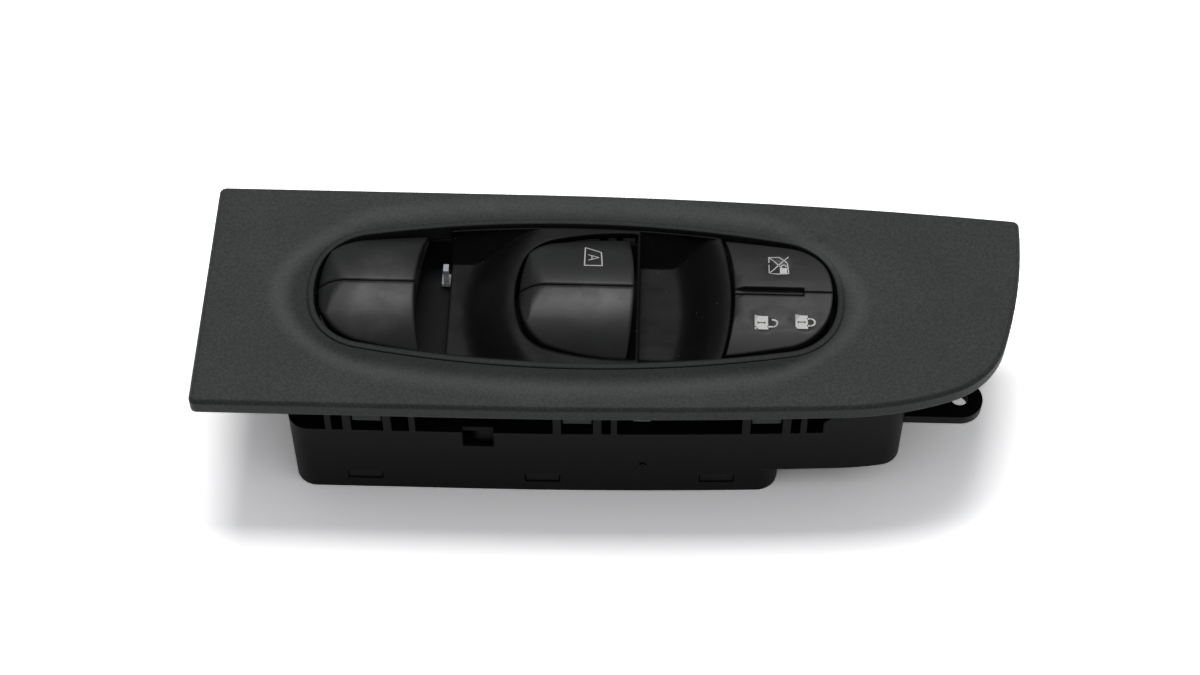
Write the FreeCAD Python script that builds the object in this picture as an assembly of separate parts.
import FreeCAD, Part
import math
import os

Vector = FreeCAD.Vector

# Driver's power window switch for a car door. Millimetres, +X to the front of the car, +Z up.
# The origin lies under the middle of the trim bezel, on the plane that the case rests on.

# Opening in the bezel, an oval with squared shoulders, and the borders of the bezel round it
OPENING_LENGTH = 153.6
OPENING_WIDTH = 51.0
OPENING_SIDE_BOW = 7.4
OPENING_END_BOW = 6.1
OPENING_CORNER = 17.0
TAIL_BORDER = 31.7
NOSE_BORDER = 54.7
NEAR_BORDER = 17.5
FAR_BORDER = 10.5
LIP_WIDTH = 1.8
LIP_RISE = 0.6
LIP_DEPTH = 7.0

# Trim bezel
TOP_HEIGHT = 46.0
BEZEL_SHEET = 3.4
SKIRT_DEPTH = 5.0
SKIRT_WALL = 2.0
EDGE_BEVEL = 0.9
CORNER_ROUND = 2.0
FAR_EDGE_DROP = 6.5
FAR_STRAIGHT = 95.0
NEAR_STRAIGHT = 80.0
# Ends of the four arcs of the near edge and nose, as offsets from the near front corner of the bezel's box
NOSE_OFFSETS = ((-53.0, 3.1), (-23.0, 9.6), (-7.0, 26.5), (0.0, 70.3))
DISH_REAR_BORDER = 19.4
DISH_FRONT_BORDER = 13.0
DISH_NEAR_BORDER = 10.6
DISH_FAR_BORDER = 8.4
DISH_SIDE_BOW = 12.0
DISH_END_BOW = 10.0
DISH_CORNER = 24.0
DISH_DROP = 2.0

# Where these put the bezel and its opening
BEZEL_LENGTH = TAIL_BORDER + OPENING_LENGTH + NOSE_BORDER
BEZEL_WIDTH = NEAR_BORDER + OPENING_WIDTH + FAR_BORDER
OPENING_X = (TAIL_BORDER - NOSE_BORDER) / 2
CENTRE_Y = (NEAR_BORDER - FAR_BORDER) / 2
REAR_END = OPENING_X - OPENING_LENGTH / 2
FRONT_END = OPENING_X + OPENING_LENGTH / 2

# Scoop panel
PANEL_TOP = 43.4
PANEL_SHEET = 2.0
PANEL_CLEARANCE = 0.3
SCOOP_FLOOR = 34.4
SCOOP_WALL = 1.6
SCOOP_SIDE_RUN = 7.5
SCOOP_RISE_RUN = 15.0
RISE_STEPS = 6
SHELL_STEPS = 2
REAR_SCOOP_START = REAR_END + 39.0
RING_WALL = 1.4
FRONT_SCOOP_START = FRONT_END - 58.1
FRONT_SCOOP_END = FRONT_END - 31.8
SCOOP_EDGE_BOW = 4.0
LOCK_RIM = 0.8
SCOOP_RIM = 0.8

# Keys
KEY_WALL = 1.8
KEY_ROOF = 1.9
KEY_SKIRT_Z = 38.6
KEY_GAP = 1.3
SPLIT_GAP = 0.5
WINDOW_CROWN = 48.2
WINDOW_CROWN_RADIUS = 40.0
LOCK_CROWN = 47.2
LOCK_CROWN_RADIUS = 62.0
REAR_KEY_FRONT = REAR_END + 31.3
REAR_KEY_BOW = 1.6
FRONT_KEY_X = FRONT_SCOOP_START - 4.2
FRONT_KEY_LENGTH = 62.0
FRONT_KEY_WIDTH = OPENING_WIDTH - 7.4
FRONT_KEY_SIDE_BOW = 4.6
FRONT_KEY_END_BOW = 4.4
FRONT_KEY_CORNER = 12.0
FRONT_KEY_FRONT = FRONT_SCOOP_START - 4.2
FRONT_KEY_BOW = 2.6
LOCK_KEY_GAP = 1.7
LOCK_START_GAP = 0.9
LOCK_GROOVE = 3.0
LOCK_GROOVE_END = 10.0
LOCK_GROOVE_DEPTH = 1.8
ROLL_START = 9.0
ROLL_DROP = 4.6
LOCK_FACE_RUN = 3.0
LOCK_FACE_DROP = 1.3
LOCK_DISH_RADIUS = 5.0
LOCK_DISH_FLOOR = 3.0
LOCK_DISH_DEPTH = 0.5
LOCK_DISH_SHIFT = 1.0
LOCK_DISH_SIDES = 14

# Pivots, legs and sliding contacts
PIVOT_Z = 39.6
REAR_PIVOT_X = REAR_END + 17.3
FRONT_PIVOT_X = FRONT_SCOOP_START - 18.2
LOCK_PIVOT_X = FRONT_END - 16.3
KEY_OFFSET_Y = OPENING_WIDTH / 2 - 14.5
LOCK_OFFSET_Y = OPENING_WIDTH / 2 - 16.0
TRUNNION_RADIUS = 1.5
PIVOT_CLEARANCE = 0.08
CHEEK_RADIUS = 3.1
CHEEK_WALL = 1.6
TOWER_LENGTH = 10.0
TOWER_WIDTH = 7.6
TOWER_WALL = 1.4
TOWER_RISE = 0.5
SIDE_CLEARANCE = 0.3
LEG_WIDTH = 4.0
LEG_THICKNESS = 2.2
LEG_TIP_RADIUS = 1.5
LEG_TIP_Z = 18.7
TIP_CLEARANCE = 0.1
SLIDER_LENGTH = 10.0
SLIDER_WIDTH = 8.0
SLIDER_HEIGHT = 4.2
SLIDER_LIFT = 0.6
SLIDER_TRAVEL = 2.7
CONTACT_SHEET = 0.3
CONTACT_WIDTH = 5.0
CONTACT_FOOT = (0.7, 1.5, 2.2)
CARRIER_WALL = 1.6
CARRIER_HEIGHT = 3.6

# Case
CASE_INSET = 2.5
CASE_WALL = 2.0
CASE_REAR_X = -BEZEL_LENGTH / 2 + 26.0
CASE_FRONT_X = BEZEL_LENGTH / 2 - 35.0
TUB_FRONT_X = FRONT_END - 15.8
TUB_HEIGHT = 11.0
DECK_TOP = 30.0
DECK_SHEET = 2.0
CASE_CORNER = 6.5
POST_TOP = 41.0
CLIP_X = (REAR_END + 18.0, FRONT_PIVOT_X + 1.2, LOCK_PIVOT_X - 4.4)
CLIP_WINDOW = 9.2
CLIP_POST = 2.4
CLIP_BAR_Z = 37.4
SINGLE_POSTS_X = (REAR_END + 6.8, REAR_END + 31.0, FRONT_PIVOT_X + 11.8, LOCK_PIVOT_X + 6.3)
SINGLE_POST = 1.8
HIGH_WALL_X = FRONT_END - 4.3
HIGH_WALL_SLOPE = 5.5
HIGH_WALL_START_Z = 35.0
WALL_NOTCH_X = REAR_SCOOP_START + 10.8
WALL_NOTCH_WIDTH = 9.0
WALL_NOTCH_DEPTH = 7.0
EAR_X = CASE_FRONT_X + 16.0
EAR_Y = -BEZEL_WIDTH / 2 + 18.5
EAR_RADIUS = 6.8
EAR_SHEET = 3.3
EAR_BORE = 5.0

# Snap hooks
HOOK_WIDTH = 8.4
HOOK_SHEET = 1.5
HOOK_NOSE = 1.6
HOOK_NOSE_Z = 34.0
HOOK_NOSE_HEIGHT = 2.9
COVER_CLIP_X = (REAR_END + 15.7, FRONT_PIVOT_X - 9.2, LOCK_PIVOT_X - 17.8)
COVER_WINDOW_Z = 4.6
COVER_WINDOW_WIDTH = 10.4
COVER_WINDOW_HEIGHT = 3.8

# Cover, board and what the board carries
COVER_LIFT = 0.3
COVER_SHEET = 2.0
BOARD_Z = 14.0
BOARD_SHEET = 1.6
BOARD_FRONT_X = FRONT_END + 0.7
BOARD_MARGIN = 0.6
BOARD_TAPER = 3.6
BOARD_CORNER = 6.0
BOSS_RADIUS = 3.6
SCREW_RADIUS = 1.4
SCREW_FIT = 0.05
SCREW_HEAD_RADIUS = 2.8
SCREW_HEAD_HEIGHT = 1.8
SCREW_LENGTH = 7.0
DRIVER_CLEARANCE = 0.7
SCREW_PLACES = (
    (CASE_REAR_X + 8.0, BEZEL_WIDTH / 2 - 11.5),
    (CASE_REAR_X + 8.0, -BEZEL_WIDTH / 2 + 13.5),
    (LOCK_PIVOT_X + 11.5, CENTRE_Y + 2.5),
)
HEADER_X = REAR_SCOOP_START + 9.3
HEADER_Y = CENTRE_Y
HEADER_LENGTH = 34.0
HEADER_WIDTH = 16.0
HEADER_WALL = 1.4
HEADER_FLOOR = 3.0
HEADER_END_Z = 1.0
HEADER_KEY_LENGTH = 5.0
HEADER_KEY_DEPTH = 2.0
PIN_SIZE = 0.8
PRESS_GAP = 0.02
PIN_PITCH = 3.6
PIN_ROW_PITCH = 5.6
PIN_COLUMNS = 8
PIN_ROWS = 2
PIN_END_Z = 5.8

# Push-push switch of the window lock
LOCK_BUTTON_X = LOCK_PIVOT_X - 0.5
LOCK_BUTTON_Y = CENTRE_Y + LOCK_OFFSET_Y
LOCK_DISHES_X = (LOCK_PIVOT_X - 5.0, LOCK_PIVOT_X + 6.6)
LOCK_ROCKER_Y = CENTRE_Y - LOCK_OFFSET_Y
LOCK_TRAVEL = 2.0
STEM_SIZE = 6.6
STEM_CLEARANCE = 0.3
STEM_WALL = 1.3
STEM_END_Z = 26.0
LOCK_CASE_SIZE = 8.6
LOCK_CASE_HEIGHT = 5.6
PLUNGER_RADIUS = 1.6
SPRING_RADIUS = 2.7
SPRING_WIRE = 0.5
SPRING_TURNS = 3.5
SPRING_STEPS = 8

# Clear light guides and small parts
GUIDE_SIZE = 2.8
GUIDE_HEAD_SIZE = 5.0
GUIDE_HEAD_HEIGHT = 3.0
GUIDE_COLLAR = 1.2
GUIDE_TOP = 38.0
GUIDE_Y = -BEZEL_WIDTH / 2 + 10.0
GUIDE_PLACES = {
    "rear_light_guide": (REAR_SCOOP_START + 2.8, GUIDE_Y),
    "front_light_guide": (FRONT_SCOOP_START + 1.6, GUIDE_Y),
}
SLIM_GUIDE_X = REAR_SCOOP_START - 1.5
SLIM_GUIDE_Y = CENTRE_Y + 13.8
SLIM_GUIDE_LENGTH = 1.6
SLIM_GUIDE_WIDTH = 2.6
SLIM_GUIDE_TOP = 37.0
SLIM_COLLAR_STEP = 0.6
LED_SIZE = 3.0
LED_HEIGHT = 1.4
LED_WELL_FLOOR = 0.9
LED_WELL_RIM = 1.6
LED_WELL_DEPTH = 0.5
SMALL_GAP = 0.3
CHIP_PLACE = (HEADER_X + 10.0, BEZEL_WIDTH / 2 - 17.5)
CHIP_SIZE = 10.0
CHIP_HEIGHT = 1.8
CHIP_LEG_PITCH = 1.25
CHIP_LEGS = 7
CHIP_LEG_WIDTH = 0.5
CHIP_LEG_SHEET = 0.4
CHIP_BODY_WIDTH = 7.0
CHIP_LIFT = 0.3
RELAY_PLACE = (FRONT_SCOOP_START + 14.8, CENTRE_Y + 8.5)
RELAY_LENGTH = 12.0
RELAY_WIDTH = 15.0
RELAY_HEIGHT = 9.0
SMALL_BEVEL = 0.8

# Metal spring clips and the blades that carry them
BLADE_PLACES = (
    (-BEZEL_LENGTH / 2 + 13.0, 17.0),
    (-BEZEL_LENGTH / 2 + 13.0, -17.0),
    (BEZEL_LENGTH / 2 - 18.0, 12.0),
)
BLADE_WIDTH = 12.0
BLADE_SHEET = 2.0
BLADE_END_Z = 31.0
GUSSET_REACH = 5.0
GUSSET_DROP = 3.4
GUSSET_SHEET = 1.2
CLIP_SHEET = 0.5
CLIP_WIDTH = BLADE_WIDTH - 4.0
CLIP_HEIGHT = 9.0
CLIP_FLARE = 1.8
CLIP_BARB = 3.2
CLIP_BARB_SLOPE = 0.3
CLIP_SHOULDER = 1.2

FLAT_SAG = 0.3
DISH_STRETCHES = 60
STUD_SIDES = 12
OVERLAP = 0.2
FAR = 400.0


def point(x, y, z=0.0):
    return Vector(x, y, z)


def box(x0, x1, y0, y1, z0, z1):
    """A box between two corners."""
    return Part.makeBox(x1 - x0, y1 - y0, z1 - z0, point(x0, y0, z0))


def centred_box(x, y, length, width, z0, z1):
    """A box centred on x and y."""
    return box(x - length / 2, x + length / 2, y - width / 2, y + width / 2, z0, z1)


def tangent_arcs(start, direction, ends):
    """Arcs from point to point, each of which leaves in the direction that the last one ended in."""
    edges = []
    for end in ends:
        chord = end - start
        angle = math.atan2(direction.x * chord.y - direction.y * chord.x, direction.dot(chord))
        side = Vector(chord.y, -chord.x, 0) * (0.5 * math.tan(angle / 2))
        edges.append(Part.Arc(start, (start + end) * 0.5 + side, end).toShape())
        direction = chord * (2 * direction.dot(chord) / chord.dot(chord)) - direction
        start = end
    return edges


def prism(face, z0, z1):
    """A flat face moved to z0 and drawn up to z1."""
    return face.translated(Vector(0, 0, z0)).extrude(Vector(0, 0, z1 - z0))


def side_prism(points, y0, y1):
    """A profile of x and z points drawn along Y."""
    corners = [point(x, y0, z) for x, z in points]
    return Part.Face(Part.makePolygon(corners + corners[:1])).extrude(Vector(0, y1 - y0, 0))


def frustum(x, y, sides, low_radius, high_radius, z0, z1):
    """A solid with a regular polygon at each end and flat faces between them."""
    turns = [math.pi * (2 * side + 1) / sides for side in range(sides)]
    rings = []
    for radius, z in ((low_radius, z0), (high_radius, z1)):
        rings.append([point(x + radius * math.cos(turn), y + radius * math.sin(turn), z) for turn in turns])
    low, high = rings
    faces = [Part.Face(Part.makePolygon(ring + ring[:1])) for ring in rings]
    for side in range(sides):
        other = (side + 1) % sides
        corners = [low[side], low[other], high[other], high[side]]
        faces.append(Part.Face(Part.makePolygon(corners + corners[:1])))
    solid = Part.makeSolid(Part.makeShell(faces))
    return solid if solid.Volume > 0 else solid.reversed()


def stud(x, y, radius, z0, z1):
    """An upright round stud, or the tool for its hole, with few sides."""
    return frustum(x, y, STUD_SIDES, radius, radius, z0, z1)


def flattened(face):
    """A flat face whose bowed sides are made of straight stretches."""
    places = face.OuterWire.discretize(Deflection=FLAT_SAG)
    if (places[0] - places[-1]).Length > 0.001:
        places.append(places[0])
    return Part.Face(Part.makePolygon(places))


def grown(face, distance):
    """A flat face with its outline moved out, or in where distance is negative."""
    return face.makeOffset2D(distance).Faces[0]


def rounded(face, radius):
    """A flat face with its outer corners rounded."""
    return grown(grown(face, -radius), radius)


def oval(x, y, length, width, side_bow, end_bow, corner):
    """A flat oval: four bowed sides with rounded corners."""
    across = length / 2
    up = width / 2
    corners = [(across - end_bow, up - side_bow), (-across + end_bow, up - side_bow),
               (-across + end_bow, -up + side_bow), (across - end_bow, -up + side_bow)]
    crests = [(0, up), (-across, 0), (0, -up), (across, 0)]
    edges = []
    for index, crest in enumerate(crests):
        start = corners[index]
        end = corners[(index + 1) % 4]
        places = [point(x + px, y + py) for px, py in (start, crest, end)]
        edges.append(Part.Arc(*places).toShape())
    return rounded(Part.Face(Part.Wire(edges)), corner)


def stretched_wire(face, z):
    """The outline of a flat face as straight stretches of even length, moved up to z."""
    places = [place + Vector(0, 0, z) for place in face.OuterWire.discretize(Number=DISH_STRETCHES + 1)]
    return Part.makePolygon(places[:-1] + places[:1])


def bezel_outline():
    """The bezel seen from above: square tail, gently swept edges and rounded nose."""
    half_length = BEZEL_LENGTH / 2
    half_width = BEZEL_WIDTH / 2
    tail_far = point(-half_length, half_width)
    tail_near = point(-half_length, -half_width)
    far_start = point(-half_length + FAR_STRAIGHT, half_width)
    near_start = point(-half_length + NEAR_STRAIGHT, -half_width)
    nose_far = point(half_length, half_width - FAR_EDGE_DROP)
    nose = [point(half_length + dx, -half_width + dy) for dx, dy in NOSE_OFFSETS]
    edges = [Part.makeLine(tail_near, near_start)]
    edges += tangent_arcs(near_start, Vector(1, 0, 0), nose)
    edges.append(Part.makeLine(nose[-1], nose_far))
    edges += tangent_arcs(far_start, Vector(1, 0, 0), [nose_far])
    edges.append(Part.makeLine(far_start, tail_far))
    edges.append(Part.makeLine(tail_far, tail_near))
    return rounded(Part.Face(Part.Wire(Part.__sortEdges__(edges))), CORNER_ROUND)


def between(face, x0, x1):
    """The part of a flat face that lies between two values of x."""
    strip = Part.makePlane(x1 - x0, FAR, point(x0, -FAR / 2, 0))
    return face.common(strip).Faces[0]


def bowed_strip(x0, bow, x1):
    """A tall strip from x0 to x1 whose edge at x0 is an arc that bulges by bow towards +X."""
    half = OPENING_WIDTH / 2
    low = point(x0, CENTRE_Y - half)
    high = point(x0, CENTRE_Y + half)
    edges = [
        Part.Arc(high, point(x0 + bow, CENTRE_Y), low).toShape(),
        Part.makeLine(low, point(x1, CENTRE_Y - half)),
        Part.makeLine(point(x1, CENTRE_Y - half), point(x1, CENTRE_Y + half)),
        Part.makeLine(point(x1, CENTRE_Y + half), high),
    ]
    return Part.Face(Part.Wire(Part.__sortEdges__(edges)))


def case_prism(x0, x1, inset, z0, z1):
    """The case's plan between two values of x, just inside the skirt.

    The outer face has round upright corners, and the inner one has straight walls."""
    rear = x0 + inset
    front = x1 - inset
    if inset >= CASE_WALL:
        return prism(between(grown(INNER_PLAN, -CASE_INSET - inset), rear, front), z0, z1)
    solid = prism(between(grown(OUTLINE, -CASE_INSET - inset), rear, front), z0, z1)
    upright = []
    for edge in solid.Edges:
        at_end = min(abs(edge.CenterOfMass.x - rear), abs(edge.CenterOfMass.x - front)) < 0.01
        if at_end and edge.BoundBox.ZLength > (z1 - z0) / 2:
            upright.append(edge)
    return solid.makeFillet(CASE_CORNER - inset, upright)


def tray_prism(inset, z0, z1):
    return case_prism(CASE_REAR_X, CASE_FRONT_X, inset, z0, z1)


def tub_prism(inset, z0, z1):
    return case_prism(CASE_REAR_X, TUB_FRONT_X, inset, z0, z1)


def wall_band(inset, thickness, z0, z1):
    """An upright wall along the inside of the case walls."""
    outer = grown(INNER_PLAN, -inset)
    return prism(outer, z0, z1).cut(prism(grown(outer, -thickness), z0 - 1, z1 + 1))


def front_and_back(x, width, z0, z1):
    """Two boxes that pick a stretch of the near wall and of the far wall."""
    reach = BEZEL_WIDTH
    gap = BEZEL_WIDTH / 4
    near = box(x - width / 2, x + width / 2, -reach, -gap, z0, z1)
    far = box(x - width / 2, x + width / 2, gap, reach, z0, z1)
    return near.fuse(far)


def slot_boxes(places, width, z0, z1):
    """The same pair of boxes at each place, as one shape."""
    shape = front_and_back(places[0], width, z0, z1)
    for x in places[1:]:
        shape = shape.fuse(front_and_back(x, width, z0, z1))
    return shape


OUTLINE = bezel_outline()
INNER_PLAN = flattened(OUTLINE)
OPENING = oval(OPENING_X, CENTRE_Y, OPENING_LENGTH, OPENING_WIDTH, OPENING_SIDE_BOW, OPENING_END_BOW,
               OPENING_CORNER)
DISH_X = OPENING_X + (DISH_FRONT_BORDER - DISH_REAR_BORDER) / 2
DISH_Y = CENTRE_Y + (DISH_FAR_BORDER - DISH_NEAR_BORDER) / 2
DISH_LENGTH = OPENING_LENGTH + DISH_REAR_BORDER + DISH_FRONT_BORDER
DISH_WIDTH = OPENING_WIDTH + DISH_NEAR_BORDER + DISH_FAR_BORDER
DISH = oval(DISH_X, DISH_Y, DISH_LENGTH, DISH_WIDTH, DISH_SIDE_BOW, DISH_END_BOW, DISH_CORNER)
FRONT_KEYS = oval(FRONT_KEY_X, CENTRE_Y, FRONT_KEY_LENGTH, FRONT_KEY_WIDTH, FRONT_KEY_SIDE_BOW,
                  FRONT_KEY_END_BOW, FRONT_KEY_CORNER)
HOOK_INSET = CASE_INSET + CASE_WALL + SIDE_CLEARANCE
PANEL_START = REAR_SCOOP_START
PANEL_END = FRONT_SCOOP_END + LOCK_RIM
LOCK_KEY_START = PANEL_END + LOCK_START_GAP


def bezel_hooks():
    """Legs that hang inside the case walls, with noses that catch in the snap loops."""
    underside = TOP_HEIGHT - BEZEL_SHEET
    picks = slot_boxes(CLIP_X, HOOK_WIDTH, HOOK_NOSE_Z, underside + OVERLAP)
    legs = wall_band(HOOK_INSET, HOOK_SHEET, HOOK_NOSE_Z, underside + OVERLAP).common(picks)
    nose_top = HOOK_NOSE_Z + HOOK_NOSE_HEIGHT
    noses = wall_band(HOOK_INSET - HOOK_NOSE, HOOK_NOSE + OVERLAP, HOOK_NOSE_Z, nose_top)
    return legs.fuse(noses.common(picks))


def bezel_blades():
    """Blades under the bezel that carry the spring clips, each with two gussets."""
    underside = TOP_HEIGHT - BEZEL_SHEET
    shapes = []
    for x, y in BLADE_PLACES:
        shapes.append(centred_box(x, y, BLADE_SHEET, BLADE_WIDTH, BLADE_END_Z, underside + OVERLAP))
        for side in (-1, 1):
            gusset_y = y + side * (BLADE_WIDTH - GUSSET_SHEET) / 2
            corners = [(x - GUSSET_REACH, underside + OVERLAP), (x + GUSSET_REACH, underside + OVERLAP),
                       (x, underside - GUSSET_DROP)]
            shapes.append(side_prism(corners, gusset_y - GUSSET_SHEET / 2, gusset_y + GUSSET_SHEET / 2))
    return shapes[0].multiFuse(shapes[1:])


def trim_bezel():
    """The outer finisher: plate, skirt, dish, lip round the opening, hooks and blades."""
    underside = TOP_HEIGHT - BEZEL_SHEET
    plate = prism(OUTLINE, TOP_HEIGHT - SKIRT_DEPTH, TOP_HEIGHT)
    rim = [edge for edge in plate.Edges if edge.BoundBox.ZMin > TOP_HEIGHT - 0.01]
    plate = plate.makeChamfer(EDGE_BEVEL, rim)
    plate = plate.cut(prism(flattened(grown(OUTLINE, -SKIRT_WALL)), 0, underside))

    lip = grown(OPENING, LIP_WIDTH)
    lip_z = TOP_HEIGHT - DISH_DROP
    dish_floor = stretched_wire(grown(OPENING, LIP_WIDTH / 2), lip_z)
    hollow = Part.makeLoft([stretched_wire(DISH, TOP_HEIGHT), dish_floor], True, True)
    lip_solid = prism(lip, TOP_HEIGHT - LIP_DEPTH, lip_z + LIP_RISE)
    shell = plate.cut(hollow).fuse(lip_solid)
    shell = shell.cut(prism(OPENING, 0, TOP_HEIGHT + 5))
    return shell.fuse(bezel_hooks()).fuse(bezel_blades()).removeSplitter()


def ring_outline(margin):
    """The oval round the front pair of keys, moved out by margin."""
    return grown(FRONT_KEYS, KEY_GAP + margin)


def disc(x, radius):
    """A flat disc on the centre line of the keys."""
    return Part.Face(Part.Wire(Part.makeCircle(radius, point(x, CENTRE_Y))))


def arc_radius(half_chord, bow):
    """Radius of the arc that bulges by bow over a chord."""
    return (half_chord ** 2 + bow ** 2) / (2 * bow)


def scoop_sides(growth):
    """A trough along X with a level floor and sides that lean out to the lip."""
    half_top = OPENING_WIDTH / 2 - PANEL_CLEARANCE - SCOOP_RIM + growth
    half_floor = half_top - SCOOP_SIDE_RUN
    low = SCOOP_FLOOR - growth
    corners = [(-half_floor, low), (half_floor, low), (half_top, PANEL_TOP), (half_top, PANEL_TOP + 1),
               (-half_top, PANEL_TOP + 1), (-half_top, PANEL_TOP)]
    places = [point(-FAR / 2, CENTRE_Y + y, z) for y, z in corners]
    return Part.Face(Part.makePolygon(places + places[:1])).extrude(Vector(FAR, 0, 0))


def scoop_rise(x, radius, side, growth):
    """The room above a floor that rises in a double bend to a crest of the given radius about x.

    Side is 1 where the floor lies inside the crest, and -1 where it lies outside."""
    low = SCOOP_FLOOR - growth
    run = SCOOP_RISE_RUN
    crest = radius + side * growth
    height = PANEL_TOP - SCOOP_FLOOR
    top = PANEL_TOP + 1
    inner_x = crest - side * (run + min((crest - run) / 2, run))
    corners = [point(inner_x, 0, top), point(inner_x, 0, low)]
    steps = SHELL_STEPS if growth else RISE_STEPS
    for step in range(steps + 1):
        share = step / steps
        z = low + height * (1 - math.cos(math.pi * share)) / 2
        corners.append(point(crest - side * run * (1 - share), 0, z))
    corners.append(point(crest, 0, top))
    face = Part.Face(Part.makePolygon(corners + corners[:1]))
    ring = face.revolve(point(0, 0), Vector(0, 0, 1), 360)
    return ring.translated(point(x, CENTRE_Y))


def rear_scoop(growth):
    """The scoop between the rear pair and the ring, moved out by growth all round."""
    half_chord = FRONT_KEY_WIDTH / 2 - FRONT_KEY_SIDE_BOW
    key_radius = arc_radius(half_chord, FRONT_KEY_END_BOW)
    x = FRONT_KEY_X - FRONT_KEY_LENGTH / 2 + key_radius
    crest = key_radius + KEY_GAP + RING_WALL
    plan = between(grown(OPENING, growth - PANEL_CLEARANCE - SCOOP_RIM), REAR_SCOOP_START - 1, FRONT_KEY_X)
    plan = plan.cut(disc(x, crest - growth)).Faces[0]
    room = prism(plan, SCOOP_FLOOR - growth, PANEL_TOP + 1)
    return room.common(scoop_sides(growth)).common(scoop_rise(x, crest, -1, growth))


def front_scoop(growth):
    """The scoop between the front pair and the lock switches, moved out by growth all round."""
    crest = arc_radius(OPENING_WIDTH / 2, SCOOP_EDGE_BOW)
    x = FRONT_SCOOP_END - crest
    plan = grown(OPENING, growth - PANEL_CLEARANCE - SCOOP_RIM)
    plan = between(plan, FRONT_SCOOP_START - growth, LOCK_PIVOT_X)
    plan = plan.common(disc(x, crest + growth)).Faces[0]
    room = prism(plan, SCOOP_FLOOR - growth, PANEL_TOP + 1)
    return room.common(scoop_sides(growth)).common(scoop_rise(x, crest, 1, growth))


def panel_plan():
    """The panel's outline: a stretch of the opening that ends in a curve at the lock keys."""
    face = between(grown(OPENING, -PANEL_CLEARANCE), PANEL_START, LOCK_PIVOT_X)
    face = face.cut(bowed_strip(PANEL_END - SCOOP_EDGE_BOW, SCOOP_EDGE_BOW, FAR)).Faces[0]
    return face.cut(between(ring_outline(0), -FAR / 2, FRONT_SCOOP_START - SCOOP_WALL / 2)).Faces[0]


def scoop_panel():
    """The gloss panel inside the lip, with its scoops as thin shells below it."""
    plan = panel_plan()
    body = prism(plan, PANEL_TOP - PANEL_SHEET, PANEL_TOP)
    keep = prism(plan, 0, PANEL_TOP)
    for scoop in (rear_scoop, front_scoop):
        body = body.fuse(scoop(SCOOP_WALL).common(keep))
    for scoop in (rear_scoop, front_scoop):
        body = body.cut(scoop(0))
    return body.removeSplitter()


def crown_profile(crown, radius, x0, x1):
    """A bar along X whose top is the arc that the pair of keys shares."""
    return Part.makeCylinder(radius, x1 - x0, point(x0, CENTRE_Y, crown - radius), Vector(1, 0, 0))


def roll_profile(x_rear, x_front, crown):
    """A bar along Y that is level at the front and rolls off to the rear edge."""
    bend = point(x_rear + ROLL_START, -FAR / 2, crown)
    tail = point(x_rear, -FAR / 2, crown - ROLL_DROP)
    base_rear = point(x_rear, -FAR / 2, 0)
    base_front = point(x_front, -FAR / 2, 0)
    top_front = point(x_front, -FAR / 2, crown)
    edges = [
        Part.makeLine(top_front, bend),
        tangent_arc_xz(bend, tail),
        Part.makeLine(tail, base_rear),
        Part.makeLine(base_rear, base_front),
        Part.makeLine(base_front, top_front),
    ]
    return Part.Face(Part.Wire(edges)).extrude(Vector(0, FAR, 0))


def tangent_arc_xz(start, end):
    """The arc that leaves start level towards -X and falls to end."""
    run = start.x - end.x
    drop = start.z - end.z
    radius = (run ** 2 + drop ** 2) / (2 * drop)
    angle = math.asin(run / radius) / 2
    middle = point(start.x - radius * math.sin(angle), start.y, start.z - radius * (1 - math.cos(angle)))
    return Part.Arc(start, middle, end).toShape()


def key_half(face, side):
    """The half of a pair's plan on one side of the split; side is 1 for far and -1 for near."""
    y0 = CENTRE_Y + side * (SPLIT_GAP + FAR) / 2 - FAR / 2
    return face.common(Part.makePlane(FAR, FAR, point(-FAR / 2, y0, 0))).Faces[0]


def key_shell(face, crown_tool, crown_tool_inner):
    """A hollow cap: the plan drawn up to the shared crown, with an even wall."""
    outer = prism(face, KEY_SKIRT_Z, TOP_HEIGHT * 2).common(crown_tool)
    inner = prism(flattened(grown(face, -KEY_WALL)), KEY_SKIRT_Z - 1, TOP_HEIGHT * 2)
    inner = inner.common(crown_tool_inner)
    return outer.cut(inner)


def cheeks_and_leg(x, y, roof):
    """Two cheeks that ride on the trunnions and the leg that drives the slider."""
    cheek_y = TOWER_WIDTH / 2 + SIDE_CLEARANCE
    shapes = []
    half = CHEEK_RADIUS / 2
    high = TOP_HEIGHT * 2
    low = PIVOT_Z - CHEEK_RADIUS
    cheek = [(x - CHEEK_RADIUS, high), (x - CHEEK_RADIUS, PIVOT_Z), (x - half, low),
             (x + half, low), (x + CHEEK_RADIUS, PIVOT_Z), (x + CHEEK_RADIUS, high)]
    for side in (-1, 1):
        y0 = min(side * cheek_y, side * (cheek_y + CHEEK_WALL)) + y
        shapes.append(side_prism(cheek, y0, y0 + CHEEK_WALL))
    leg = centred_box(x, y, LEG_THICKNESS, LEG_WIDTH, LEG_TIP_Z, TOP_HEIGHT * 2)
    turns = [math.pi * corner / 3 for corner in range(6)]
    radius = LEG_TIP_RADIUS
    tip = [(x + radius * math.cos(turn), LEG_TIP_Z + radius * math.sin(turn)) for turn in turns]
    shapes.append(side_prism(tip, y - LEG_WIDTH / 2, y + LEG_WIDTH / 2))
    body = leg.multiFuse(shapes).common(roof)
    bore_radius = TRUNNION_RADIUS + PIVOT_CLEARANCE
    start = point(x, y - BEZEL_WIDTH / 2, PIVOT_Z)
    bore = Part.makeCylinder(bore_radius, BEZEL_WIDTH, start, Vector(0, 1, 0))
    leg_keep = centred_box(x, y, TOWER_LENGTH, LEG_WIDTH, 0, FAR)
    return body.cut(bore.cut(leg_keep))


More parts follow.
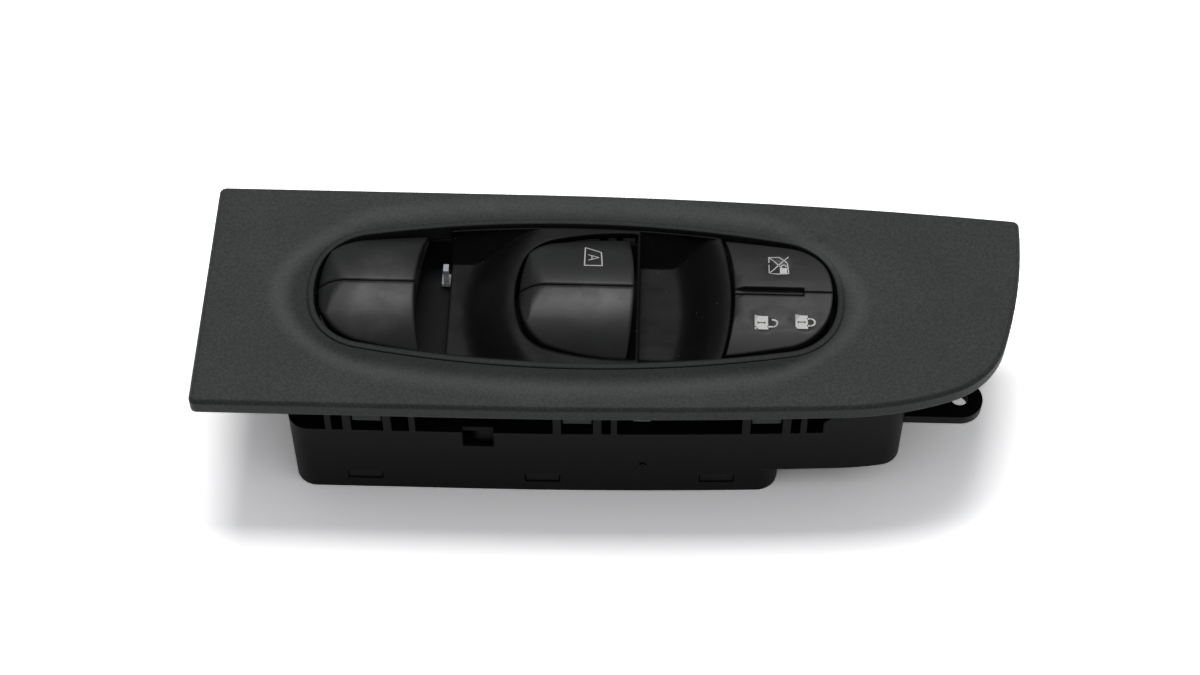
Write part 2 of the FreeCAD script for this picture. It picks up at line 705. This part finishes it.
def window_key(plan, side, x_rear, x_front, pivot_x):
    """One window key: crowned cap, cheeks and leg."""
    face = key_half(plan, side)
    crown = crown_profile(WINDOW_CROWN, WINDOW_CROWN_RADIUS, x_rear - 5, x_front + 5)
    outer_tool = crown.common(roll_profile(x_rear, x_front + 5, WINDOW_CROWN))
    inner_tool = outer_tool.translated(Vector(0, 0, -KEY_ROOF))
    cap = key_shell(face, outer_tool, inner_tool)
    roof = outer_tool.translated(Vector(0, 0, -KEY_ROOF / 2))
    y = CENTRE_Y + side * KEY_OFFSET_Y
    return cap.fuse(cheeks_and_leg(pivot_x, y, roof)).removeSplitter()


def rear_pair_plan():
    face = grown(OPENING, -KEY_GAP)
    face = between(face, -FAR / 2, OPENING_X)
    return face.cut(bowed_strip(REAR_KEY_FRONT + REAR_KEY_BOW, -2 * REAR_KEY_BOW, FAR / 2)).Faces[0]


def front_pair_plan():
    return FRONT_KEYS.cut(bowed_strip(FRONT_KEY_FRONT, FRONT_KEY_BOW, FAR / 2)).Faces[0]


def lock_pair_plan():
    face = grown(OPENING, -LOCK_KEY_GAP)
    start = LOCK_KEY_START - SCOOP_EDGE_BOW
    return face.common(bowed_strip(start, SCOOP_EDGE_BOW, FAR / 2)).Faces[0]


def lock_crown(drop):
    x0 = LOCK_KEY_START - LOCK_GROOVE_END
    crown = crown_profile(LOCK_CROWN, LOCK_CROWN_RADIUS, x0, FRONT_END)
    groove = box(x0, FRONT_END - LOCK_GROOVE_END, CENTRE_Y - LOCK_GROOVE / 2, CENTRE_Y + LOCK_GROOVE / 2,
                 LOCK_CROWN - LOCK_GROOVE_DEPTH, FAR)
    return crown.cut(groove).cut(lock_slope()).translated(Vector(0, 0, -drop))


def lock_slope():
    """The room above the sloping face along the lock keys' curved rear edge."""
    radius = arc_radius(OPENING_WIDTH / 2, SCOOP_EDGE_BOW)
    steepness = LOCK_FACE_DROP / LOCK_FACE_RUN
    top = LOCK_CROWN + 1
    front = radius + LOCK_FACE_RUN + 1 / steepness
    rear = radius - LOCK_FACE_RUN
    corners = [point(front, 0, top), point(rear, 0, top), point(rear, 0, top - (front - rear) * steepness)]
    ring = Part.Face(Part.makePolygon(corners + corners[:1])).revolve(point(0, 0), Vector(0, 0, 1), 360)
    return ring.translated(point(LOCK_KEY_START - radius, CENTRE_Y))


def lock_dish(x, y):
    """A round hollow with sloping sides in a lock key's top."""
    floor = crown_height(y, LOCK_CROWN, LOCK_CROWN_RADIUS) - LOCK_DISH_DEPTH
    slope = (LOCK_DISH_RADIUS - LOCK_DISH_FLOOR) / (2 * LOCK_DISH_DEPTH)
    height = 4 * LOCK_DISH_DEPTH
    rim = LOCK_DISH_FLOOR + slope * height
    return frustum(x, y, LOCK_DISH_SIDES, LOCK_DISH_FLOOR, rim, floor, floor + height)


def crown_height(y, crown, radius):
    """Height of the shared crown at y."""
    return crown - radius + math.sqrt(radius ** 2 - (y - CENTRE_Y) ** 2)


def door_lock_rocker():
    """The rocker that locks and unlocks the doors, with a hollow at each end."""
    y = LOCK_ROCKER_Y
    outer_tool = lock_crown(0)
    for x in LOCK_DISHES_X:
        outer_tool = outer_tool.cut(lock_dish(x, y - LOCK_DISH_SHIFT))
    cap = key_shell(key_half(lock_pair_plan(), -1), outer_tool, lock_crown(KEY_ROOF + 1))
    return cap.fuse(cheeks_and_leg(LOCK_PIVOT_X, y, lock_crown(KEY_ROOF))).removeSplitter()


def window_lock_button():
    """The push button that locks the passengers' windows, on a hollow square stem."""
    y = LOCK_BUTTON_Y
    outer_tool = lock_crown(0).cut(lock_dish(LOCK_BUTTON_X, y))
    cap = key_shell(key_half(lock_pair_plan(), 1), outer_tool, lock_crown(KEY_ROOF + 1))
    stem = centred_box(LOCK_BUTTON_X, y, STEM_SIZE, STEM_SIZE, STEM_END_Z, TOP_HEIGHT * 2)
    core = STEM_SIZE - 2 * STEM_WALL
    stem = stem.cut(centred_box(LOCK_BUTTON_X, y, core, core, STEM_END_Z + STEM_WALL, TOP_HEIGHT * 2))
    return cap.fuse(stem.common(lock_crown(KEY_ROOF))).removeSplitter()


def pivot_places():
    """The five towers that carry a rocking key, as name, x and y."""
    far = CENTRE_Y + KEY_OFFSET_Y
    near = CENTRE_Y - KEY_OFFSET_Y
    return (
        ("rear_left", REAR_PIVOT_X, far),
        ("rear_right", REAR_PIVOT_X, near),
        ("driver", FRONT_PIVOT_X, far),
        ("passenger", FRONT_PIVOT_X, near),
        ("door_lock", LOCK_PIVOT_X, LOCK_ROCKER_Y),
    )


def tower(x, y):
    """A square tube on the deck with a trunnion on each side."""
    top = PIVOT_Z + TRUNNION_RADIUS + TOWER_RISE
    tube = centred_box(x, y, TOWER_LENGTH, TOWER_WIDTH, DECK_TOP - 0.1, top)
    reach = TOWER_WIDTH + 2 * (SIDE_CLEARANCE + CHEEK_WALL)
    pin = stud(0, 0, TRUNNION_RADIUS, -reach / 2, reach / 2)
    pin.rotate(point(0, 0), Vector(1, 0, 0), 90)
    return tube.fuse(pin.translated(point(x, y, PIVOT_Z)))


def tower_bore(x, y):
    """The free way down through a tower and the deck for the key's leg."""
    length = TOWER_LENGTH - 2 * TOWER_WALL
    width = TOWER_WIDTH - 2 * TOWER_WALL
    return centred_box(x, y, length, width, DECK_TOP - DECK_SHEET - 1, FAR)


def high_wall():
    """Profile of the front end of the case wall, which rises to the bezel."""
    top_x = HIGH_WALL_X + HIGH_WALL_SLOPE
    corners = [
        (HIGH_WALL_X, DECK_TOP - 1),
        (HIGH_WALL_X, HIGH_WALL_START_Z),
        (top_x, POST_TOP),
        (CASE_FRONT_X + 1, POST_TOP),
        (CASE_FRONT_X + 1, DECK_TOP - 1),
    ]
    return side_prism(corners, -BEZEL_WIDTH, BEZEL_WIDTH)


def case_uprights():
    """Snap loops, single posts and the high front wall that stand on the case wall."""
    band = tray_prism(0, DECK_TOP - 1, POST_TOP).cut(tray_prism(CASE_WALL, 0, POST_TOP + 1))
    loops = slot_boxes(CLIP_X, CLIP_WINDOW + 2 * CLIP_POST, DECK_TOP - 1, POST_TOP)
    loops = loops.cut(slot_boxes(CLIP_X, CLIP_WINDOW, DECK_TOP, CLIP_BAR_Z))
    posts = slot_boxes(SINGLE_POSTS_X, SINGLE_POST, DECK_TOP - 1, POST_TOP)
    return band.common(loops.fuse(posts).fuse(high_wall()))


def mounting_ear(housing):
    """The ear at the front end of the housing, with its fixing hole."""
    top = DECK_TOP
    bottom = DECK_TOP - EAR_SHEET
    pad = Part.makeCylinder(EAR_RADIUS, EAR_SHEET, point(EAR_X, EAR_Y, bottom))
    arm = box(CASE_FRONT_X - CASE_WALL, EAR_X, EAR_Y - EAR_RADIUS, EAR_Y + EAR_RADIUS, bottom, top)
    ear = pad.fuse(arm).cut(Part.makeCylinder(EAR_BORE / 2, FAR, point(EAR_X, EAR_Y, 0)))
    return ear.cut(housing).removeSplitter()


def stem_guide():
    """The square tube that guides the lock button's stem, and its bore."""
    y = LOCK_BUTTON_Y
    bore = STEM_SIZE + 2 * STEM_CLEARANCE
    size = bore + 2 * TOWER_WALL
    tube = centred_box(LOCK_BUTTON_X, y, size, size, DECK_TOP - 0.1, PIVOT_Z - 1)
    return tube, centred_box(LOCK_BUTTON_X, y, bore, bore, DECK_TOP - DECK_SHEET - 1, FAR)


def switch_housing():
    """The case: deep tub, shallow tray, deck, towers, loops and bosses."""
    body = tray_prism(0, TUB_HEIGHT, DECK_TOP).fuse(tub_prism(0, 0, TUB_HEIGHT + 1))
    body = body.cut(tray_prism(CASE_WALL, TUB_HEIGHT + CASE_WALL, DECK_TOP - DECK_SHEET))
    body = body.cut(tub_prism(CASE_WALL, -1, TUB_HEIGHT + CASE_WALL + 1))
    body = body.fuse(case_uprights())
    guide, guide_bore = stem_guide()
    additions = [tower(x, y) for name, x, y in pivot_places()] + [guide]
    cuts = [tower_bore(x, y) for name, x, y in pivot_places()] + [guide_bore]
    board_top = BOARD_Z + BOARD_SHEET
    for x, y in SCREW_PLACES:
        additions.append(stud(x, y, BOSS_RADIUS, board_top, DECK_TOP - 1))
        cuts.append(stud(x, y, SCREW_RADIUS, board_top - 1, board_top - 1 + SCREW_LENGTH))
        cuts.append(Part.makeCylinder(SCREW_HEAD_RADIUS + DRIVER_CLEARANCE, BOARD_Z - 1, point(x, y, 0)))
    guide_hole = GUIDE_SIZE + 2 * PIVOT_CLEARANCE
    for x, y in GUIDE_PLACES.values():
        cuts.append(centred_box(x, y, guide_hole, guide_hole, DECK_TOP - DECK_SHEET - 1, FAR))
    cuts.append(slim_guide(PIVOT_CLEARANCE, DECK_TOP - DECK_SHEET - 1, FAR))
    body = body.multiFuse(additions)
    window_top = COVER_WINDOW_Z + COVER_WINDOW_HEIGHT
    cuts.append(slot_boxes(COVER_CLIP_X, COVER_WINDOW_WIDTH, COVER_WINDOW_Z, window_top))
    notch_z = DECK_TOP - WALL_NOTCH_DEPTH
    cuts.append(box(WALL_NOTCH_X - WALL_NOTCH_WIDTH / 2, WALL_NOTCH_X + WALL_NOTCH_WIDTH / 2,
                    -BEZEL_WIDTH, -BEZEL_WIDTH / 2 + CASE_INSET + CASE_WALL, notch_z, DECK_TOP + 1))
    for tool in cuts:
        body = body.cut(tool)
    return body.removeSplitter()


def lower_cover():
    """The bottom plate with its snap hooks and the hole for the plug."""
    inset = CASE_WALL + SIDE_CLEARANCE
    plate = tub_prism(inset, COVER_LIFT, COVER_LIFT + COVER_SHEET)
    hook_top = COVER_WINDOW_Z + COVER_WINDOW_HEIGHT - SIDE_CLEARANCE
    width = COVER_WINDOW_WIDTH - 2 * SIDE_CLEARANCE
    picks = slot_boxes(COVER_CLIP_X, width, COVER_LIFT, hook_top)
    core = tub_prism(inset + HOOK_SHEET, 0, hook_top + 1)
    legs = tub_prism(inset, COVER_LIFT, hook_top).cut(core).common(picks)
    nose_z = COVER_WINDOW_Z + SIDE_CLEARANCE
    nose = tub_prism(SIDE_CLEARANCE, nose_z, hook_top).cut(core).common(picks)
    hole = centred_box(HEADER_X, HEADER_Y, HEADER_LENGTH + 2 * SIDE_CLEARANCE,
                       HEADER_WIDTH + 2 * SIDE_CLEARANCE, -1, COVER_SHEET + 2)
    return plate.fuse(legs).fuse(nose).cut(hole).removeSplitter()


def circuit_board():
    """The board: a plate that narrows with the case, with cut corners and holes for its screws."""
    rear_x = CASE_REAR_X + CASE_WALL + BOARD_MARGIN
    rear_half = BEZEL_WIDTH / 2 - CASE_INSET - CASE_WALL - BOARD_MARGIN
    front_half = rear_half - BOARD_TAPER
    cut = BOARD_CORNER
    corners = [
        (rear_x, -rear_half + cut), (rear_x + cut, -rear_half), (BOARD_FRONT_X, -front_half),
        (BOARD_FRONT_X, front_half), (rear_x + cut, rear_half), (rear_x, rear_half - cut),
    ]
    places = [point(x, y) for x, y in corners]
    body = prism(Part.Face(Part.makePolygon(places + places[:1])), BOARD_Z, BOARD_Z + BOARD_SHEET)
    for x, y in SCREW_PLACES:
        body = body.cut(stud(x, y, SCREW_RADIUS + TIP_CLEARANCE, 0, FAR))
    return body


def board_screw(x, y):
    """A hexagon head screw driven up through the board into a boss."""
    head = frustum(x, y, 6, SCREW_HEAD_RADIUS, SCREW_HEAD_RADIUS, BOARD_Z - SCREW_HEAD_HEIGHT, BOARD_Z)
    shank = stud(x, y, SCREW_RADIUS - SCREW_FIT, BOARD_Z - OVERLAP, BOARD_Z + SCREW_LENGTH - 1)
    return head.fuse(shank).removeSplitter()


def pin_places():
    """Centres of the plug pins."""
    for row in range(PIN_ROWS):
        for column in range(PIN_COLUMNS):
            x = HEADER_X + (column - (PIN_COLUMNS - 1) / 2) * PIN_PITCH
            y = HEADER_Y + (row - (PIN_ROWS - 1) / 2) * PIN_ROW_PITCH
            yield x, y


def connector_header():
    """The plug socket under the board, open downwards, with a keying slot."""
    body = centred_box(HEADER_X, HEADER_Y, HEADER_LENGTH, HEADER_WIDTH, HEADER_END_Z, BOARD_Z)
    inner_length = HEADER_LENGTH - 2 * HEADER_WALL
    inner_width = HEADER_WIDTH - 2 * HEADER_WALL
    body = body.cut(centred_box(HEADER_X, HEADER_Y, inner_length, inner_width, 0, BOARD_Z - HEADER_FLOOR))
    body = body.cut(centred_box(HEADER_X, HEADER_Y + HEADER_WIDTH / 2, HEADER_KEY_LENGTH, 2 * HEADER_KEY_DEPTH,
                                0, BOARD_Z - HEADER_FLOOR))
    hole = PIN_SIZE + 2 * PRESS_GAP
    for x, y in pin_places():
        body = body.cut(centred_box(x, y, hole, hole, 0, BOARD_Z + 1))
    return body


def connector_pins():
    pins = [centred_box(x, y, PIN_SIZE, PIN_SIZE, PIN_END_Z, BOARD_Z) for x, y in pin_places()]
    return Part.makeCompound(pins)


def slider(x, y):
    """The block that a key's leg pushes along the board, with a slot for the leg's tip."""
    base = BOARD_Z + BOARD_SHEET + SLIDER_LIFT
    body = centred_box(x, y, SLIDER_LENGTH, SLIDER_WIDTH, base, base + SLIDER_HEIGHT)
    upright = [edge for edge in body.Edges if edge.BoundBox.ZLength > SLIDER_HEIGHT / 2]
    body = body.makeChamfer(SMALL_BEVEL, upright)
    slot_length = 2 * (LEG_TIP_RADIUS + TIP_CLEARANCE)
    slot_floor = LEG_TIP_Z - LEG_TIP_RADIUS - SIDE_CLEARANCE
    slot_width = LEG_WIDTH + 2 * SIDE_CLEARANCE
    slot = centred_box(x, y, slot_length, slot_width, slot_floor, base + SLIDER_HEIGHT + 1)
    return body.cut(slot)


def sliding_contact(x, y):
    """A copper leaf under the slider, pressed down to a touch point near each end."""
    top = BOARD_Z + BOARD_SHEET + SLIDER_LIFT
    low = BOARD_Z + BOARD_SHEET + TIP_CLEARANCE
    reach = SLIDER_LENGTH / 2 - 1
    toe, sole, heel = [reach - inward for inward in CONTACT_FOOT]
    half = [(reach, top), (reach, top - CONTACT_SHEET), (toe, low), (sole, low), (heel, top - CONTACT_SHEET)]
    corners = half + [(-px, pz) for px, pz in reversed(half)]
    return side_prism([(x + px, pz) for px, pz in corners], y - CONTACT_WIDTH / 2, y + CONTACT_WIDTH / 2)


def contact_carrier(places):
    """A frame on the board in which one or two sliders run."""
    base = BOARD_Z + BOARD_SHEET
    x = places[0][0]
    ys = [y for x_place, y in places]
    pocket_length = SLIDER_LENGTH + 2 * (SLIDER_TRAVEL + SIDE_CLEARANCE)
    pocket_width = SLIDER_WIDTH + 2 * SIDE_CLEARANCE
    length = pocket_length + 2 * CARRIER_WALL
    low = min(ys) - pocket_width / 2 - CARRIER_WALL
    high = max(ys) + pocket_width / 2 + CARRIER_WALL
    body = box(x - length / 2, x + length / 2, low, high, base, base + CARRIER_HEIGHT)
    for y in ys:
        body = body.cut(centred_box(x, y, pocket_length, pocket_width, base - 1, base + CARRIER_HEIGHT + 1))
    return body


def coil_spring(height):
    """A coil of round wire, as a chain of six-sided sections along the helix."""
    sections = []
    steps = int(SPRING_TURNS * SPRING_STEPS)
    for step in range(steps + 1):
        turn = 2 * math.pi * step / SPRING_STEPS
        corners = []
        for corner in range(6):
            angle = math.pi * corner / 3
            reach = SPRING_RADIUS + SPRING_WIRE / 2 * math.cos(angle)
            z = height * step / steps + SPRING_WIRE / 2 * math.sin(angle)
            corners.append(point(reach * math.cos(turn), reach * math.sin(turn), z))
        sections.append(Part.makePolygon(corners + corners[:1]))
    return Part.makeLoft(sections, True, True)


def lock_switch():
    """The case of the push-push switch, its plunger and its spring."""
    base = BOARD_Z + BOARD_SHEET
    y = LOCK_BUTTON_Y
    case_top = base + LOCK_CASE_HEIGHT
    case = centred_box(LOCK_BUTTON_X, y, LOCK_CASE_SIZE, LOCK_CASE_SIZE, base, case_top)
    upright = [edge for edge in case.Edges if edge.BoundBox.ZLength > LOCK_CASE_HEIGHT / 2]
    case = case.makeChamfer(SMALL_BEVEL, upright)
    well_radius = PLUNGER_RADIUS + SIDE_CLEARANCE / 2
    case = case.cut(stud(LOCK_BUTTON_X, y, well_radius, base + 1, case_top + 1))
    plunger_z = base + 1 + LOCK_TRAVEL + SIDE_CLEARANCE
    plunger = stud(LOCK_BUTTON_X, y, PLUNGER_RADIUS, plunger_z, STEM_END_Z)
    spring_z = case_top + SPRING_WIRE
    height = STEM_END_Z - case_top - 2 * SPRING_WIRE
    coil = coil_spring(height).translated(point(LOCK_BUTTON_X, y, spring_z))
    return case, plunger, coil


def light_guide(x, y):
    """A clear square pipe from just above a lamp up through the deck, with a flared head."""
    base = BOARD_Z + BOARD_SHEET + LED_HEIGHT + SMALL_GAP
    pipe = centred_box(x, y, GUIDE_SIZE, GUIDE_SIZE, base, GUIDE_TOP)
    seat = DECK_TOP + SMALL_GAP
    collar = centred_box(x, y, GUIDE_HEAD_SIZE, GUIDE_HEAD_SIZE, seat, seat + GUIDE_COLLAR)
    corner = math.sqrt(0.5)
    head_z = GUIDE_TOP - GUIDE_HEAD_HEIGHT
    head = frustum(x, y, 4, GUIDE_SIZE * corner, GUIDE_HEAD_SIZE * corner, head_z, GUIDE_TOP)
    return pipe.fuse([collar, head]).removeSplitter()


def slim_guide(margin, z0, z1):
    """The narrow light pipe beside the rear scoop, or the tool for its hole with a margin."""
    length = SLIM_GUIDE_LENGTH + 2 * margin
    width = SLIM_GUIDE_WIDTH + 2 * margin
    return centred_box(SLIM_GUIDE_X, SLIM_GUIDE_Y, length, width, z0, z1)


def scoop_light_guide():
    """The narrow pipe that lights the finger gap, with a collar that rests on the deck."""
    base = BOARD_Z + BOARD_SHEET + LED_HEIGHT + SMALL_GAP
    seat = DECK_TOP + TIP_CLEARANCE
    collar = slim_guide(SLIM_COLLAR_STEP, seat, seat + GUIDE_COLLAR)
    return slim_guide(0, base, SLIM_GUIDE_TOP).fuse(collar).removeSplitter()


def indicator_leds():
    base = BOARD_Z + BOARD_SHEET
    lamps = []
    for x, y in list(GUIDE_PLACES.values()) + [(SLIM_GUIDE_X, SLIM_GUIDE_Y)]:
        body = centred_box(x, y, LED_SIZE, LED_SIZE, base, base + LED_HEIGHT)
        top = base + LED_HEIGHT
        lamps.append(body.cut(frustum(x, y, 4, LED_WELL_FLOOR, LED_WELL_RIM, top - LED_WELL_DEPTH, top)))
    return Part.makeCompound(lamps)


def control_chip():
    """A flat chip with gull-wing legs along two sides."""
    x, y = CHIP_PLACE
    base = BOARD_Z + BOARD_SHEET
    shapes = [centred_box(x, y, CHIP_SIZE, CHIP_BODY_WIDTH, base + CHIP_LIFT, base + CHIP_HEIGHT)]
    for index in range(CHIP_LEGS):
        leg_x = x + (index - (CHIP_LEGS - 1) / 2) * CHIP_LEG_PITCH
        shapes.append(centred_box(leg_x, y, CHIP_LEG_WIDTH, CHIP_SIZE, base, base + CHIP_LEG_SHEET))
    return shapes[0].multiFuse(shapes[1:])


def window_relay():
    """The relay that runs the driver's window by itself once the key is clicked through."""
    x, y = RELAY_PLACE
    base = BOARD_Z + BOARD_SHEET
    body = centred_box(x, y, RELAY_LENGTH, RELAY_WIDTH, base, base + RELAY_HEIGHT)
    return body.makeChamfer(SMALL_BEVEL, [edge for edge in body.Edges if edge.BoundBox.ZMin > base + 1])


def spring_clip(x, y):
    """A folded metal clip pushed over the end of a blade, with flared tips."""
    inner = BLADE_SHEET / 2 + PRESS_GAP
    outer = inner + CLIP_SHEET
    bottom = BLADE_END_Z - PRESS_GAP
    top = bottom + CLIP_HEIGHT
    profile = [(inner, bottom)] + barb_points(inner, outer, top) + [(outer, bottom - CLIP_SHEET)]
    mirrored = [(-px, pz) for px, pz in reversed(profile)]
    corners = [(x + px, pz) for px, pz in profile + mirrored]
    return side_prism(corners, y - CLIP_WIDTH / 2, y + CLIP_WIDTH / 2)


def barb_points(inner, outer, top):
    """The upper end of a spring clip's leg, which is folded out and down into a barb."""
    return [
        (inner, top),
        (inner + CLIP_FLARE + CLIP_SHEET, top - CLIP_BARB + CLIP_BARB_SLOPE),
        (inner + CLIP_FLARE, top - CLIP_BARB),
        (outer, top - CLIP_SHOULDER),
    ]


def build():
    """Every node of the switch, by name."""
    housing = switch_housing()
    nodes = {
        "trim_bezel": trim_bezel(),
        "scoop_panel": scoop_panel(),
        "switch_housing": housing,
        "mounting_ear": mounting_ear(housing),
        "lower_cover": lower_cover(),
        "circuit_board": circuit_board(),
        "board_screws": Part.makeCompound([board_screw(x, y) for x, y in SCREW_PLACES]),
        "connector_header": connector_header(),
        "connector_pins": connector_pins(),
        "door_lock_rocker": door_lock_rocker(),
        "window_lock_button": window_lock_button(),
        "indicator_leds": indicator_leds(),
        "scoop_light_guide": scoop_light_guide(),
        "control_chip": control_chip(),
        "window_relay": window_relay(),
        "spring_clips": Part.makeCompound([spring_clip(x, y) for x, y in BLADE_PLACES]),
    }
    x_rear = REAR_END + KEY_GAP
    rear = rear_pair_plan()
    front = front_pair_plan()
    x_ring = FRONT_KEY_X - FRONT_KEY_LENGTH / 2
    front_x = FRONT_KEY_FRONT + FRONT_KEY_BOW
    nodes["rear_left_window_key"] = window_key(rear, 1, x_rear, REAR_KEY_FRONT, REAR_PIVOT_X)
    nodes["rear_right_window_key"] = window_key(rear, -1, x_rear, REAR_KEY_FRONT, REAR_PIVOT_X)
    nodes["driver_window_key"] = window_key(front, 1, x_ring, front_x, FRONT_PIVOT_X)
    nodes["passenger_window_key"] = window_key(front, -1, x_ring, front_x, FRONT_PIVOT_X)
    places = {}
    for name, x, y in pivot_places():
        nodes[name + "_slider"] = slider(x, y)
        nodes[name + "_contact"] = sliding_contact(x, y)
        places[name] = (x, y)
    nodes["rear_contact_carrier"] = contact_carrier([places["rear_left"], places["rear_right"]])
    nodes["front_contact_carrier"] = contact_carrier([places["driver"], places["passenger"]])
    nodes["lock_contact_carrier"] = contact_carrier([places["door_lock"]])
    case, plunger, coil = lock_switch()
    nodes["lock_switch_case"] = case
    nodes["lock_switch_plunger"] = plunger
    nodes["lock_switch_spring"] = coil
    for name, (x, y) in GUIDE_PLACES.items():
        nodes[name] = light_guide(x, y)
    return nodes


def export():
    os.makedirs("parts", exist_ok=True)
    for name, shape in build().items():
        solids = shape.Solids
        whole = solids[0] if len(solids) == 1 else Part.makeCompound(solids)
        whole.exportStep("parts/" + name + ".step")


export()
